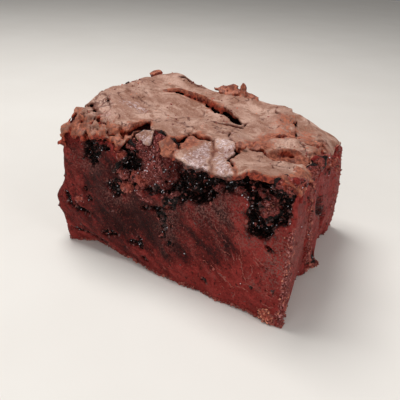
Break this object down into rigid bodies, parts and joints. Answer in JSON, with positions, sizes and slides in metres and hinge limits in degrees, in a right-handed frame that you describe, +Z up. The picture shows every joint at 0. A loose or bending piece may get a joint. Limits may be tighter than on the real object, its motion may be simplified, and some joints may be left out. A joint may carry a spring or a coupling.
{
  "type": "chocolate brownie",
  "caption": "Square-cut chocolate brownie: a dense, fudgy block under a thin baked crust that has lifted and cracked into plates over torn, glossy crumb.",
  "frame": {"origin": "middle of the flat base, on the surface the brownie rests on", "axes": "+Z up, out of the baked crust; +X along the long cut, towards the short cut's face; -Y out of the long cut's face"},
  "size_m": [0.0683, 0.0538, 0.039],
  "materials": {
    "crumb": "dense baked chocolate crumb, smeared by the knife, satin",
    "crust": "dry baked crust, matte",
    "shiny_crust": "papery sugar crust, glossy"
  },
  "bodies": {
    "root": {"brownie": "crumb"}
  },
  "joints": []
}
